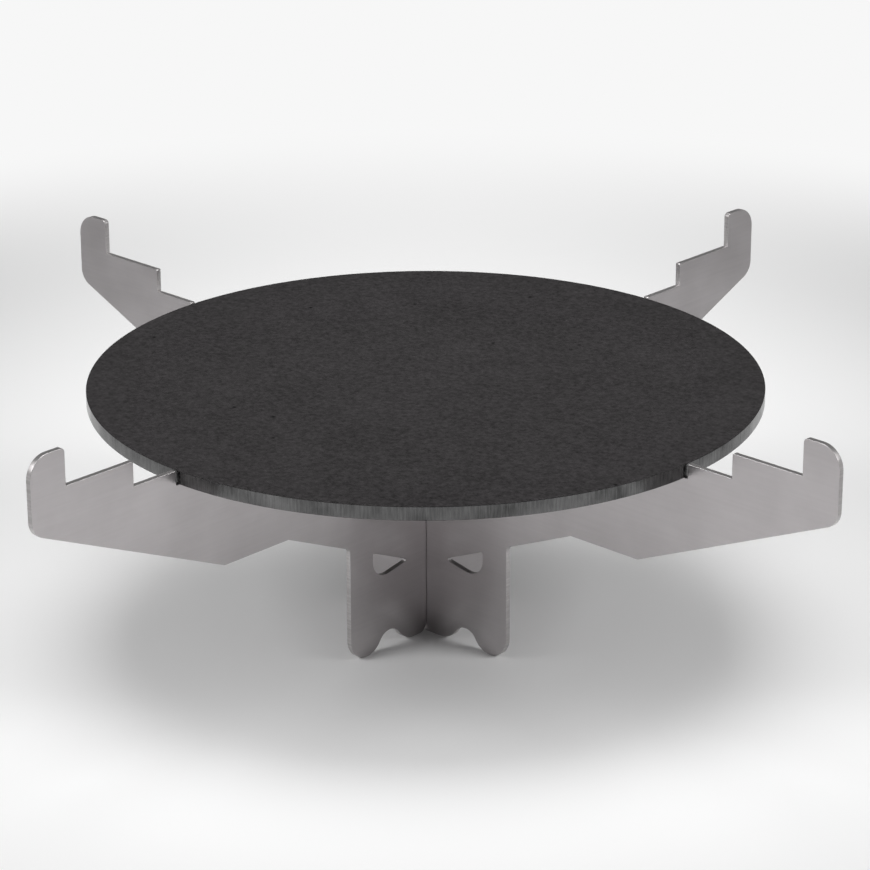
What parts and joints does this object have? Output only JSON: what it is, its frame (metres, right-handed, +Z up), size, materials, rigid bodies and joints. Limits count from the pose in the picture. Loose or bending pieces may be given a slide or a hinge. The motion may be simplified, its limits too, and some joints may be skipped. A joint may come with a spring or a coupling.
{
  "type": "camp griddle plate",
  "caption": "Round steel griddle plate resting on interlocking stainless sheet bars that form a cross stand with stepped, hooked arms and lobed feet.",
  "frame": {"origin": "on the ground under the centre of the plate, in the plane of the feet", "axes": "+Z up along the plate's axis, +X along the lower cross bar, +Y along the upper cross bar"},
  "size_m": [0.458, 0.458, 0.1494],
  "materials": {
    "griddle_plate": "hot-rolled black steel with a thin matt mill scale, rim cut bright",
    "cross_bar": "satin stainless sheet with laser-cut edges"
  },
  "bodies": {
    "lower_bar": {"lower_cross_bar": "cross_bar"},
    "upper_bar": {"upper_cross_bar": "cross_bar"},
    "plate": {"griddle_plate": "griddle_plate"}
  },
  "joints": [
    {"name": "upper_bar_lift", "type": "slide", "parent": "lower_bar", "child": "upper_bar", "axis": [0, 0, 1], "range_m": [0, 0.12]},
    {"name": "plate_lift", "type": "slide", "parent": "upper_bar", "child": "plate", "axis": [0, 0, 1], "range_m": [0, 0.06]}
  ]
}
